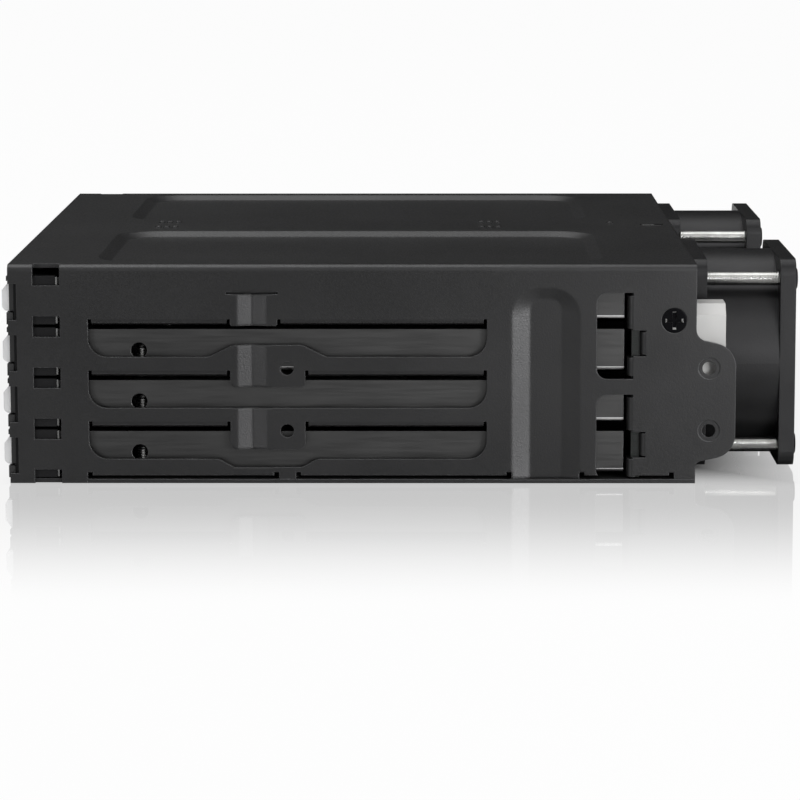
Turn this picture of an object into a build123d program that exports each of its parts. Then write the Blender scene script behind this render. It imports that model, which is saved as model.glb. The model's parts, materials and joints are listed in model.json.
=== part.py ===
from build123d import *
import math
import os

# Hot swap drive cage: eight 2.5 inch drive trays in a half height 5.25 inch bay, with two rear fans.
# Millimetres. X is the width, Y runs from the tray fronts (-Y) to the fans (+Y), Z is up.
# The origin is at the bottom centre of the whole cage.

# Drive and bay sizes
drive_width = 69.85
drive_side_play = 0.05
drive_hole_pitch = 76.6
drive_hole_height = 3.0
bay_rows = 4
bay_pitch = 9.7
first_pan_height = 1.87
top_allowance = 0.73

# Sheet metal
sheet = 0.8
inner_bend = 0.3
divider_sheet = 0.5
emboss_depth = 0.85
rail_play = 0.2
divider_play = 0.15
tongue_count = 4
shelf_play = 0.1
shelf_depth = 6.0
top_bend = 1.2

# Trays
pan_sheet = 0.4
pan_front = 8.9
pan_length = 106.74
pan_height = 7.8
pan_bend = 0.8
pad_height = 0.35
pad_radius = 3.6
drive_hole_from_front = 15.9
drive_hole_radius = 1.5
drive_bottom_hole_spacing = 61.72
pan_window_count = 3
pan_window_length = 25.0
pan_window_margin = 12.0
pan_window_radius = 3.0
pan_grille_height = 4.6

# Tray fronts
bezel_gap = 0.6
bezel_drop = 0.92
bezel_front = 1.0
bezel_side_play = 0.2
lever_front = -0.35
lever_thickness = 1.25
lever_play = 0.3
lever_side_play = 0.6
vent_count = 8
vent_width = 5.2
vent_pitch = 6.5
vent_height = 6.0
vent_start = 9.5
pin_radius = 0.75
pin_play = 0.05
pin_fit = 0.02
pin_inset = 3.0
barrel_extra = 0.7
lug_height = 1.5
lug_radius = 1.35
lug_play = 0.2
swing_play = 0.2
button_width = 7.4
button_height = 5.4
button_rise = 1.6
button_proud = 1.2
button_depth = 3.6
button_inset = 0.6
button_play = 0.2
button_travel = 0.8
button_spring_room = 0.8
button_chamfer = 1.5
button_round = 1.0

# Backplane
board_gap = 1.36
board_thickness = 1.6
board_play = 0.2
chamber_depth = 9.7
socket_width = 40.0
socket_height = 4.7
socket_depth = 5.8
socket_offset = 4.8
socket_rise = 1.2
socket_slot_width = 33.4
socket_slot_height = 1.7
socket_slot_depth = 4.4
board_vent_height = 3.6
board_vent_width = 40.0
port_width = 16.0
port_height = 5.4
port_depth = 8.4
port_pitch = 18.4
port_wall = 0.9
port_floor = 2.0
tongue_width = 10.4
tongue_height = 1.3
power_length = 21.8
power_width = 8.2
power_depth = 16.2
power_wall = 1.0
power_floor = 4.0
power_side_gap = 2.6
power_bottom = 11.8
power_corner = 2.0
power_pin_count = 4
power_pin_pitch = 5.08
power_pin_radius = 1.05
power_pin_length = 9.6
header_width = 7.5
header_height = 4.4
header_depth = 6.0
header_wall = 0.8
header_floor = 1.6
header_shift = 1.9

# Fans
fan_size = 40.0
fan_depth = 20.0
fan_pitch = 76.8
fan_bottom = 0.7
fan_flange = 3.0
fan_corner = 3.0
fan_wall = 1.0
fan_hole_inset = 4.0
fan_hole_radius = 1.7
fan_base_margin = 0.2
fan_base_thickness = 2.0
fan_strut_width = 2.2
fan_strut_count = 4
fan_strut_angle = 45.0
fan_tube_radius = 2.6
fan_tube_inset = 4.2
fan_shaft_radius = 1.0
fan_shaft_play = 0.04
fan_tip_play = 0.7
blade_span = 8.4
hub_wall = 0.9
hub_front_gap = 1.5
hub_rear_gap = 0.6
blade_count = 7
blade_front_gap = 2.6
blade_rear_gap = 4.4
blade_thickness = 0.9
blade_root_angle = 38.0
blade_tip_angle = 56.0
blade_camber = 1.3
blade_taper_angle = 90.0
screw_head_radius = 2.45
screw_head_height = 2.0
screw_head_proud = 0.5
screw_head_play = 0.2
screw_shank_radius = 1.45
screw_panel_play = 0.05
screw_end = 1.4

# Side plates: lanced windows, embosses, ears and mounting holes
window_start = 15.0
window_height = 6.05
window_corner = 3.5
window_curve = 2.5
relief = 0.6
flap_root = 0.4
middle_step = 0.2
mount_hole_pitch = 79.24
mount_hole_rise = 11.84
mount_hole_low = 10.0
mount_hole_radius = 1.25
mount_collar_radius = 2.1
mount_collar_height = 0.7
rear_hole_setback = 2.47
rear_ring_radius = 2.05
rear_ring_depth = 0.25
ear_reach = 5.0
ear_above = 3.9
ear_below = 4.4
ear_slope = 1.6
ear_corner = 4.5
ear_inner_corner = 2.4
ear_join = 4.8
pad_before = 10.7
pad_after = 3.4
pad_above = 4.45
pad_below = 3.6
pad_corner = 1.4
pad_curve_run = 4.6
low_pad_curve_run = 2.8
middle_slot_height = 3.35
groove_centre_before = 6.55
groove_width = 5.5
groove_depth = 0.8
groove_slit_length = 9.8
groove_slit_width = 0.4
groove_rise = 5.2
channel_width = 12.8
channel_slope = 3.4
channel_top_drop = 4.36
channel_top_slope = 2.1
channel_corner = 5.5
channel_floor_corner = 2.2
channel_to_window = 4.7
channel_to_rear_window = 3.1
rear_window_length = 6.56
rear_window_height = 16.3
rear_window_corner = 2.0
rear_window_low = 0.6
rear_window_drop = 1.44
rear_window_middle = 4.3
rear_window_tab_height = 4.9
rear_tab_depth = 2.3
rear_flap_depth = 5.0
front_window_start = 4.7
front_window_length = 5.05
front_window_height = 3.9
front_window_reach = 2.2
front_notch_depth = 1.6
front_notch_height = 6.85
toe_length = 14.65
slit_height = 0.7
slit_bridge = 3.2
slit_relief = 1.3
slit_relief_width = 0.9
slit_rear_bridge = 4.0

# Top plate
panel_edge = 5.0
panel_inner_edge = 11.0
panel_start = 16.0
panel_end_gap = 17.1
panel_slope = 2.2
panel_depth = 1.0
panel_corner = 9.0
panel_floor_corner = 7.0
top_slot_length = 4.35
top_slot_width = 1.2
top_slot_from_rear = 6.35

# Bottom plate
rib_width = 4.0
rib_top_width = 2.4
rib_length = 92.0
rib_inset = 5.6
bottom_hole_inset = 3.15
bottom_front_setback = 0.5

# Rear panel and its screws
cover_screw_radius = 2.34
cover_shank_radius = 1.5
cover_head_height = 0.72
cover_screw_length = 2.3
cover_screw_play = 0.1
cover_screw_from_rear = 4.17
cover_screw_height = 30.91
cover_flange_depth = 7.4
cover_flange_height = 9.0
panel_fan_lip = 0.4
panel_port_corner = 1.5
panel_port_play = 1.2
panel_power_play = 0.4

# Worked out from the sizes above
tray_width = drive_width + 2 * drive_side_play + 2 * pan_sheet
tray_inner = divider_sheet / 2 + divider_play
tray_outer = tray_inner + tray_width
half_width = tray_outer + rail_play + emboss_depth + sheet
inner_half_width = half_width - sheet
cage_height = first_pan_height + bay_rows * bay_pitch + top_allowance
ceiling = cage_height - sheet
board_front = pan_front + pan_length + board_gap
board_rear = board_front + board_thickness
panel_front = board_rear + chamber_depth
shell_length = panel_front + sheet
overall_length = button_proud + shell_length + fan_depth + screw_head_proud
front_y = button_proud - overall_length / 2
tray_centre = (tray_inner + tray_outer) / 2
fan_bore_radius = fan_size / 2 - fan_wall
fan_hole_spacing = fan_size - 2 * fan_hole_inset
hub_radius = fan_bore_radius - blade_span
fan_base_radius = hub_radius + fan_base_margin
panel_fan_opening = fan_bore_radius - panel_fan_lip
fan_x = fan_pitch / 2
fan_z = fan_bottom + fan_size / 2
fan_front = shell_length
fan_rear = fan_front + fan_depth
bezel_inner = divider_sheet / 2 + bezel_side_play
bezel_outer = inner_half_width - bezel_side_play
bezel_height = bay_pitch - bezel_gap
lever_back = lever_front + lever_thickness
barrel_radius = lever_thickness + barrel_extra
rear_hole = shell_length + rear_hole_setback
front_hole = rear_hole - mount_hole_pitch
mount_hole_high = mount_hole_low + mount_hole_rise
pad_start = front_hole - pad_before
pad_end = front_hole + pad_after
groove_centre = front_hole - groove_centre_before
rear_window_start = board_front - rear_window_length
channel_end = rear_window_start - channel_to_rear_window
channel_start = channel_end - channel_width
window_end = channel_start - channel_to_window
bay_sides = (-1, 1)
bay_list = [(side, row) for side in bay_sides for row in range(bay_rows)]


def pan_floor(row):
    """Underside of the tray pan in a row, the lowest row being 0."""
    return first_pan_height + row * bay_pitch


def shelf_face(row):
    """Underside of the shelf flaps that carry a row's pan."""
    return pan_floor(row) - shelf_play - sheet


def row_boundary(row):
    """Middle of the gap under a row's tray front."""
    return pan_floor(row) - bezel_drop - bezel_gap / 2


def y_at(distance):
    """Y of a place this far behind the cage's front edge."""
    return front_y + distance


def facing_front(distance):
    """Plane seen from the front: X to the right, Z up; a negative extrusion runs to the rear."""
    return Plane(origin=(0, y_at(distance), 0), x_dir=(1, 0, 0), z_dir=(0, -1, 0))


def seen_from_side(x):
    """Plane across the width at x, measured from the cage's front edge to the rear, and Z up."""
    return Plane(origin=(x, front_y, 0), x_dir=(0, 1, 0), z_dir=(1, 0, 0))


def seen_from_top(z):
    """Plane at a height, X to the right, and Y measured from the cage's front edge."""
    return Plane(origin=(0, front_y, z), x_dir=(1, 0, 0), z_dir=(0, 0, 1))


def box_sketch(left, right, low, high):
    """Rectangle given by its four limits in the sketch that is open."""
    with Locations(((left + right) / 2, (low + high) / 2)):
        Rectangle(right - left, high - low)


def box_solid(x_range, y_range, z_range, mode=Mode.ADD):
    """Block between limits, with Y measured from the cage's front edge."""
    middle = (sum(x_range) / 2, y_at(sum(y_range) / 2), sum(z_range) / 2)
    with Locations(middle):
        Box(x_range[1] - x_range[0], y_range[1] - y_range[0], z_range[1] - z_range[0], mode=mode)


def outline(points, radii):
    """Flat shape inside a closed line, each corner rounded to its own radius."""
    with BuildSketch() as shape:
        with BuildLine():
            FilletPolyline(*points, radius=radii, close=True)
        make_face()
    return shape.sketch


def sided(side, inner, outer):
    """Limits in X of something between two distances from the middle, on one side."""
    return (min(side * inner, side * outer), max(side * inner, side * outer))


def write(piece, name):
    """Label a finished piece and write its file."""
    piece.part.label = name
    export_step(piece.part, f"parts/{name}.step")


def flap_outline(side, face, depth):
    """Section of a tab bent inward from a side wall, its outer face lying at the given place."""
    wall = side * half_width
    inner = side * inner_half_width
    tip = side * (half_width - depth)
    # The straight stretch above the bend lies inside the wall
    root = face + sheet + inner_bend + flap_root
    points = [(wall, root), (wall, face), (tip, face)]
    points += [(tip, face + sheet), (inner, face + sheet), (inner, root)]
    return outline(points, [0, sheet + inner_bend, 0, 0, inner_bend, 0])


def tab_end(row):
    """Rear end of the wall's middle tab above a window, where the rear flap starts."""
    return pad_end if row < bay_rows - 1 else pad_end - pad_curve_run - relief


def window_outline(row):
    """Outline of a lanced side window below a row's shelf, stepped round the mounting holes."""
    top = shelf_face(row) + sheet + inner_bend
    bottom = shelf_face(row) - window_height
    middle_top = shelf_face(row) - middle_step
    middle_bottom = bottom
    run = pad_curve_run
    if row == bay_rows - 2:
        middle_top = mount_hole_high - pad_below
    if row == bay_rows - 1:
        middle_bottom = mount_hole_high + pad_above
    if row == 1:
        middle_top = mount_hole_low - pad_below
        middle_bottom = middle_top - middle_slot_height
        run = low_pad_curve_run
    points = [(window_start, top), (window_start, bottom)]
    radii = [0, window_corner]
    if middle_bottom != bottom:
        points += [(pad_start + relief - run, bottom), (pad_start + relief, middle_bottom)]
        points += [(pad_end - relief, middle_bottom), (pad_end - relief + run, bottom)]
        radii += [window_curve] * 4
    points += [(window_end, bottom), (window_end, top), (tab_end(row), top)]
    points += [(tab_end(row), middle_top), (pad_start, middle_top), (pad_start, top)]
    corner = min(pad_corner, (top - middle_top) / 3)
    radii += [window_corner, 0, 0, corner, corner, 0]
    return outline(points, radii)


def rounded_top_outline(start, end, low, top, corner):
    """Upright outline with two round top corners."""
    return outline([(start, low), (start, top), (end, top), (end, low)], [0, corner, corner, 0])


def channel_form(wall, side):
    """Form of the wide channel in a side wall, open at the bottom edge, from one face of the sheet inward."""
    below = -sheet
    top = cage_height - channel_top_drop
    floor_start = channel_start + channel_slope
    floor_end = channel_end - channel_slope
    floor_top = top - channel_top_slope
    with BuildPart() as form:
        with BuildSketch(seen_from_side(side * wall)):
            add(rounded_top_outline(channel_start, channel_end, below, top, channel_corner))
        with BuildSketch(seen_from_side(side * (wall - emboss_depth))):
            add(rounded_top_outline(floor_start, floor_end, below, floor_top, channel_floor_corner))
        loft()
    return form.part


def groove_top():
    """Upper end of the V groove in a side wall."""
    return shelf_face(bay_rows - 1) + sheet + groove_rise


def groove_form(wall, side):
    """Form of the narrow V groove down the middle of a side wall."""
    low = mount_hole_low - pad_below
    half = groove_width / 2
    edge = side * wall
    tip = side * (wall - groove_depth)
    corners = [(edge, groove_centre - half), (tip, groove_centre), (edge, groove_centre + half)]
    with BuildPart() as form:
        with BuildSketch(seen_from_top(low)):
            add(outline(corners, [0, 0, 0]))
        extrude(amount=groove_top() - low)
    return form.part


def top_panel_form(level, side):
    """Form of the shallow panel in the top plate over one column, from one face of the sheet down."""
    inner = panel_inner_edge
    outer = half_width - panel_edge
    start = panel_start
    end = shell_length - panel_end_gap
    width = outer - inner
    middle = (side * (inner + outer) / 2, (start + end) / 2)
    with BuildPart() as form:
        with BuildSketch(seen_from_top(level)):
            with Locations(middle):
                RectangleRounded(width, end - start, panel_corner)
        with BuildSketch(seen_from_top(level - panel_depth)):
            with Locations(middle):
                RectangleRounded(width - 2 * panel_slope, end - start - 2 * panel_slope, panel_floor_corner)
        loft()
    return form.part


def make_top_shell():
    """Top plate and both side plates, folded from one sheet."""
    with BuildPart() as shell:
        with BuildSketch(facing_front(0)):
            box_sketch(-half_width, half_width, 0, cage_height)
        extrude(amount=-shell_length)
        fillet(shell.edges().filter_by(Axis.Y).group_by(Axis.Z)[-1], top_bend)
        with BuildSketch(facing_front(0)):
            box_sketch(-inner_half_width, inner_half_width, -sheet, ceiling)
        extrude(amount=-shell_length, mode=Mode.SUBTRACT)
        # Pressed forms: each adds its depth inside the sheet and takes it away outside
        for side in bay_sides:
            add(channel_form(inner_half_width, side))
            add(groove_form(inner_half_width, side))
            add(top_panel_form(ceiling, side))
        for side in bay_sides:
            add(channel_form(half_width, side), mode=Mode.SUBTRACT)
            add(groove_form(half_width, side), mode=Mode.SUBTRACT)
            add(top_panel_form(cage_height, side), mode=Mode.SUBTRACT)
        # Below the toe at the front, the side walls stand on the bottom plate
        with BuildSketch(seen_from_side(0)):
            box_sketch(toe_length, shell_length + sheet, -2 * sheet, sheet)
            box_sketch(-sheet, toe_length, -2 * sheet, 0)
        extrude(amount=half_width + sheet, both=True, mode=Mode.SUBTRACT)
        # Rear ears that carry the rear mounting holes
        for side in bay_sides:
            with BuildSketch(seen_from_side(side * half_width)):
                add(ear_outline())
            extrude(amount=-side * sheet)
        # Windows, notches and slits in both side walls
        flap_spans = []
        with BuildSketch(seen_from_side(0)):
            for row in range(1, bay_rows):
                add(window_outline(row))
                flap_spans.append((row, window_start + relief, pad_start - relief))
                flap_spans.append((row, tab_end(row) + relief, window_end - relief))
            for row in range(bay_rows):
                low = pan_floor(row)
                box_sketch(-sheet, front_notch_depth, low, low + front_notch_height)
            for row in range(bay_rows):
                middle = row_boundary(row)
                low = middle - front_window_height / 2
                high = middle + front_window_height / 2
                box_sketch(front_window_start, front_window_start + front_window_length, low, high)
            with Locations((groove_centre, groove_top())):
                Rectangle(groove_slit_length, groove_slit_width)
            bottom_slits()
            for low in rear_window_lows():
                add(rear_window_outline(low))
                tab_low = low + rear_window_middle
                tab_root = board_rear + sheet + inner_bend
                box_sketch(board_front, tab_root, tab_low, tab_low + rear_window_tab_height)
        extrude(amount=half_width + sheet, both=True, mode=Mode.SUBTRACT)
        # Front windows that run over the top bend
        for side in bay_sides:
            low = row_boundary(bay_rows) - front_window_height / 2
            y_range = (front_window_start, front_window_start + front_window_length)
            x_range = sided(side, half_width - front_window_reach, half_width + sheet)
            box_solid(x_range, y_range, (low, cage_height + sheet), Mode.SUBTRACT)
        # Shelf flaps bent in at the top of each window
        for row, start, end in flap_spans:
            with BuildSketch(facing_front(start)):
                for side in bay_sides:
                    add(flap_outline(side, shelf_face(row), shelf_depth))
            extrude(amount=start - end)
        add(board_flaps())
        add(mount_collars())
        add(mount_hole_cuts(), mode=Mode.SUBTRACT)
        screw_y = y_at(shell_length - cover_screw_from_rear)
        for side in bay_sides:
            spot = (side * half_width, screw_y, cover_screw_height)
            with Locations(Plane(origin=spot, x_dir=(0, 1, 0), z_dir=(side, 0, 0))):
                CounterSinkHole(
                    radius=cover_shank_radius + cover_screw_play,
                    counter_sink_radius=cover_screw_radius + cover_screw_play,
                    depth=2 * sheet, counter_sink_angle=90)
        # Slot for the rear panel's tab in the top plate
        slot_start = shell_length - top_slot_from_rear
        slot_x = (-top_slot_width / 2, top_slot_width / 2)
        slot_y = (slot_start, slot_start + top_slot_length)
        box_solid(slot_x, slot_y, (ceiling - sheet, cage_height + sheet), Mode.SUBTRACT)
    return shell


def ear_outline():
    """Rear ear: concave where it leaves the wall and round at its two outer corners."""
    root = shell_length - 2 * sheet
    end = rear_hole + ear_reach
    high = mount_hole_high + ear_above
    low = mount_hole_low - ear_below
    join = high + ear_slope + ear_join
    lines = [(root, sheet), (shell_length, sheet), (shell_length, low - ear_slope), (end, low)]
    lines += [(end, high), (shell_length, high + ear_slope), (shell_length, join), (root, join)]
    radii = [0, 0, ear_inner_corner / 2, ear_corner, ear_corner, ear_inner_corner, 0, 0]
    return outline(lines, radii)


def bottom_slits():
    """Slits between the side walls' lower edge and the bottom plate, with a relief notch at each end."""
    spans = [(toe_length, front_hole - slit_bridge / 2), (front_hole + slit_bridge / 2, channel_start)]
    spans.append((channel_end, shell_length - slit_rear_bridge))
    for start, end in spans:
        box_sketch(start, end, sheet / 2, sheet + slit_height)
        box_sketch(start, start + slit_relief_width, sheet / 2, sheet + slit_relief)
        box_sketch(end - slit_relief_width, end, sheet / 2, sheet + slit_relief)


def rear_window_lows():
    """Lower edges of the two rear windows, the lower one inside the slit above the bottom plate."""
    return (rear_window_low, pan_floor(bay_rows // 2) - rear_window_drop)


def rear_window_outline(low):
    """Window at the backplane, with two round corners at its front."""
    high = low + rear_window_height
    root = board_front + inner_bend
    points = [(rear_window_start, low), (root, low), (root, high), (rear_window_start, high)]
    return outline(points, [rear_window_corner, 0, 0, rear_window_corner])


def board_flaps():
    """Tabs bent in from the rear windows, which hold the backplane's front and rear faces."""
    with BuildPart() as flaps:
        for low in rear_window_lows():
            tab_low = low + rear_window_middle
            tab_high = tab_low + rear_window_tab_height
            end_high = low + rear_window_height - relief
            spans = [
                (low + relief, tab_low - relief / 2, board_front - sheet, rear_flap_depth),
                (tab_high + relief / 2, end_high, board_front - sheet, rear_flap_depth),
                (tab_low + relief / 2, tab_high - relief / 2, board_rear, rear_tab_depth),
            ]
            for start, end, face, depth in spans:
                with BuildSketch(seen_from_top(start)):
                    for side in bay_sides:
                        add(flap_outline(side, face, depth))
                extrude(amount=end - start)
    return flaps.part


def mount_collars():
    """Drawn collars inside the front mounting holes of both side walls."""
    with BuildPart() as collars:
        for side in bay_sides:
            with BuildSketch(seen_from_side(side * inner_half_width)):
                with Locations(*[(front_hole, height) for height in (mount_hole_low, mount_hole_high)]):
                    Circle(mount_collar_radius)
            extrude(amount=-side * mount_collar_height)
    return collars.part


def mount_hole_cuts():
    """Four tapped holes in each side wall, the rear pair with a shallow ring round them."""
    heights = (mount_hole_low, mount_hole_high)
    spots = [(place, height) for place in (front_hole, rear_hole) for height in heights]
    with BuildPart() as cuts:
        for side in bay_sides:
            with BuildSketch(seen_from_side(side * half_width)):
                with Locations(*[(rear_hole, height) for height in heights]):
                    Circle(rear_ring_radius)
            extrude(amount=-side * rear_ring_depth)
            with BuildSketch(seen_from_side(side * half_width)):
                with Locations(*spots):
                    Circle(mount_hole_radius)
            extrude(amount=-side * (2 * sheet + mount_collar_height))
    return cuts.part


def make_bottom_plate():
    """Flat bottom plate with pressed ribs under the lowest pans."""
    rear = shell_length
    rib_high = first_pan_height - shelf_play
    rib_middle = window_start + rib_length / 2
    with BuildPart() as plate:
        box_solid((-half_width, half_width), (toe_length, rear), (0, sheet))
        box_solid((-inner_half_width, inner_half_width), (bottom_front_setback, toe_length), (0, sheet))
        rib_places = [(side * place, rib_middle) for side in bay_sides
                      for place in (tray_inner + rib_inset, tray_outer - rib_inset)]
        for place in rib_places:
            add(rib_form(place, sheet, rib_high - sheet))
        for place in rib_places:
            add(rib_form(place, 0, rib_high - sheet), mode=Mode.SUBTRACT)
        # Bottom mounting holes with drawn collars
        hole_places = [(side * (half_width - bottom_hole_inset), front_hole) for side in bay_sides]
        with BuildSketch(seen_from_top(sheet)):
            with Locations(*hole_places):
                Circle(mount_collar_radius)
        extrude(amount=mount_collar_height)
        with BuildSketch(seen_from_top(0)):
            with Locations(*hole_places):
                Circle(mount_hole_radius)
        extrude(amount=sheet + mount_collar_height, mode=Mode.SUBTRACT)
    return plate


def rib_form(place, low, rise):
    """Form of a long pressed rib, narrower at its top."""
    with BuildPart() as form:
        with BuildSketch(seen_from_top(low)):
            with Locations(place):
                Rectangle(rib_width, rib_length)
        with BuildSketch(seen_from_top(low + rise)):
            with Locations(place):
                Rectangle(rib_top_width, rib_length - rib_width)
        loft()
    return form.part


def make_centre_divider():
    """Upright sheet between the columns, with shelf tongues lanced to either side in turn."""
    start = front_notch_depth
    end = board_front - divider_play
    length = (window_end - window_start) / (2 * tongue_count)
    with BuildPart() as divider:
        box_solid((-divider_sheet / 2, divider_sheet / 2), (start, end), (sheet, ceiling))
        with BuildSketch(seen_from_side(0)):
            for row in range(1, bay_rows):
                for step in range(2 * tongue_count):
                    place = window_start + step * length
                    top = shelf_face(row) + sheet
                    box_sketch(place + relief, place + length - relief, top - window_height + sheet, top)
        extrude(amount=divider_sheet, both=True, mode=Mode.SUBTRACT)
        for row in range(1, bay_rows):
            for step in range(2 * tongue_count):
                side = bay_sides[step % 2]
                place = window_start + step * length
                top = shelf_face(row) + sheet
                tongue_x = sided(-side, -divider_sheet / 2, window_height - 2 * sheet)
                box_solid(tongue_x, (place + relief, place + length - relief), (top - divider_sheet, top))
        # Feet against the bottom plate and the top plate
        for side, place in ((1, window_start), (-1, window_start + length), (1, window_end - length)):
            foot_x = sided(side, 0, divider_sheet / 2 + shelf_play + divider_sheet)
            for low in (sheet, ceiling - divider_sheet):
                box_solid(foot_x, (place, place + length), (low, low + divider_sheet))
    return divider


def make_rear_panel():
    """Rear wall with fan openings, port and power cut-outs and two screwed side flanges."""
    screw_place = shell_length - cover_screw_from_rear
    with BuildPart() as panel:
        box_solid((-inner_half_width, inner_half_width), (panel_front, shell_length), (sheet, ceiling))
        with BuildSketch(facing_front(panel_front)):
            with Locations((-fan_x, fan_z), (fan_x, fan_z)):
                Circle(panel_fan_opening)
            port_half = port_pitch / 2 + port_width / 2 + panel_port_play
            port_low = port_centre(0) - port_height / 2 - panel_port_play
            port_high = port_centre(bay_rows - 1) + port_height / 2 + panel_port_play
            with Locations((0, (port_low + port_high) / 2)):
                RectangleRounded(2 * port_half, port_high - port_low, panel_port_corner)
            for side in bay_sides:
                limits = sided(side, power_inner() - panel_power_play, power_outer() + panel_power_play)
                low = power_bottom - panel_power_play
                box_sketch(limits[0], limits[1], low, low + power_length + 2 * panel_power_play)
            with Locations(*fan_screw_spots()):
                Circle(screw_shank_radius + screw_panel_play)
        extrude(amount=-sheet, mode=Mode.SUBTRACT)
        for side in bay_sides:
            low = cover_screw_height - cover_flange_height / 2
            flange_x = sided(side, inner_half_width - sheet, inner_half_width)
            flange_y = (shell_length - cover_flange_depth, panel_front)
            box_solid(flange_x, flange_y, (low, low + cover_flange_height))
            with BuildSketch(seen_from_side(side * inner_half_width)):
                with Locations((screw_place, cover_screw_height)):
                    Circle(cover_shank_radius + screw_panel_play)
            extrude(amount=-side * sheet, mode=Mode.SUBTRACT)
    return panel


def port_centre(row):
    """Height of the middle of the connectors that serve a row."""
    return pan_floor(row) + pan_sheet + pad_height + socket_height / 2 + socket_rise


def power_outer():
    """Outer side of a power socket, from the middle."""
    return half_width - power_side_gap


def power_inner():
    """Inner side of a power socket, from the middle."""
    return power_outer() - power_width


def fan_screw_spots():
    """Places of the fan screws, in X and Z."""
    half = fan_hole_spacing / 2
    return [(side * fan_x + dx, fan_z + dz) for side in bay_sides
            for dx in (-half, half) for dz in (-half, half)]


def make_backplane_board():
    """Circuit board across the cage, with air slots between the rows of sockets."""
    edge = inner_half_width - inner_bend - board_play
    with BuildPart() as board:
        box_solid((-edge, edge), (board_front, board_rear), (sheet + board_play, ceiling - board_play))
        with BuildSketch(facing_front(board_front)):
            spots = [(side * tray_centre, port_centre(row) + bay_pitch / 2) for side in bay_sides
                     for row in range(bay_rows - 1)]
            with Locations(*spots):
                Rectangle(board_vent_width, board_vent_height)
        extrude(amount=-board_thickness, mode=Mode.SUBTRACT)
    return board


def make_drive_sockets():
    """Eight receptacles on the board's front face, one behind each tray."""
    front = board_front - socket_depth
    spots = [(side * tray_centre - socket_offset, port_centre(row)) for side, row in bay_list]
    with BuildPart() as sockets:
        with BuildSketch(facing_front(front)):
            with Locations(*spots):
                Rectangle(socket_width, socket_height)
        extrude(amount=-socket_depth)
        with BuildSketch(facing_front(front)):
            with Locations(*spots):
                Rectangle(socket_slot_width, socket_slot_height)
        extrude(amount=-socket_slot_depth, mode=Mode.SUBTRACT)
    return sockets


def make_data_ports():
    """Eight data connectors on the board's rear face, each a shroud with a contact tongue."""
    spots = [(side * port_pitch / 2, port_centre(row)) for side, row in bay_list]
    with BuildPart() as ports:
        with BuildSketch(facing_front(board_rear)):
            with Locations(*spots):
                Rectangle(port_width, port_height)
        extrude(amount=-port_depth)
        with BuildSketch(facing_front(board_rear + port_floor)):
            with Locations(*spots):
                Rectangle(port_width - 2 * port_wall, port_height - 2 * port_wall)
                Rectangle(tongue_width, tongue_height, mode=Mode.SUBTRACT)
        extrude(amount=port_floor - port_depth, mode=Mode.SUBTRACT)
    return ports


def make_power_sockets():
    """Two upright four way power housings, open to the rear, with two cut corners each."""
    with BuildPart() as sockets:
        for inset, start, mode in ((0, 0, Mode.ADD), (power_wall, power_floor, Mode.SUBTRACT)):
            with BuildSketch(facing_front(board_rear + start)):
                for side in bay_sides:
                    near = side * (power_inner() + inset)
                    far = side * (power_outer() - inset)
                    low = power_bottom + inset
                    high = power_bottom + power_length - inset
                    cut = power_corner - inset / 2
                    with BuildLine():
                        Polyline((near, low), (near, high), (far - side * cut, high), (far, high - cut),
                                 (far, low + cut), (far - side * cut, low), close=True)
                    make_face()
            extrude(amount=start - power_depth, mode=mode)
    return sockets


def make_power_pins():
    """Four round contacts in each power housing."""
    centre_z = power_bottom + power_length / 2
    centre_x = (power_inner() + power_outer()) / 2
    lowest = centre_z - (power_pin_count - 1) * power_pin_pitch / 2
    spots = [(side * centre_x, lowest + step * power_pin_pitch) for side in bay_sides
             for step in range(power_pin_count)]
    with BuildPart() as pins:
        with BuildSketch(facing_front(board_rear + power_floor)):
            with Locations(*spots):
                Circle(power_pin_radius)
        extrude(amount=-power_pin_length)
    return pins


def make_fan_headers():
    """Two small fan connectors on the board's rear face, above the power sockets."""
    centre_x = power_inner() - header_shift
    spots = [(side * centre_x, ceiling - header_height) for side in bay_sides]
    with BuildPart() as headers:
        with BuildSketch(facing_front(board_rear)):
            with Locations(*spots):
                Rectangle(header_width, header_height)
        extrude(amount=-header_depth)
        with BuildSketch(facing_front(board_rear + header_floor)):
            with Locations(*spots):
                Rectangle(header_width - 2 * header_wall, header_height - 2 * header_wall)
        extrude(amount=header_floor - header_depth, mode=Mode.SUBTRACT)
    return headers


def make_cover_screws():
    """Flat head screws through the side walls into the rear panel's flanges."""
    middle = (0, y_at(shell_length - cover_screw_from_rear), cover_screw_height)
    with BuildPart() as screws:
        for side in bay_sides:
            face = side * (half_width - screw_panel_play)
            end = side * (half_width - cover_screw_length)
            neck = face - side * cover_head_height
            with BuildSketch(Plane(origin=middle, x_dir=(1, 0, 0), z_dir=(0, -1, 0))):
                with BuildLine():
                    Polyline((face, 0), (face, cover_screw_radius), (neck, cover_shank_radius),
                             (end, cover_shank_radius), (end, 0), close=True)
                make_face()
            revolve(axis=Axis(middle, (1, 0, 0)))
    return screws


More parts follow.
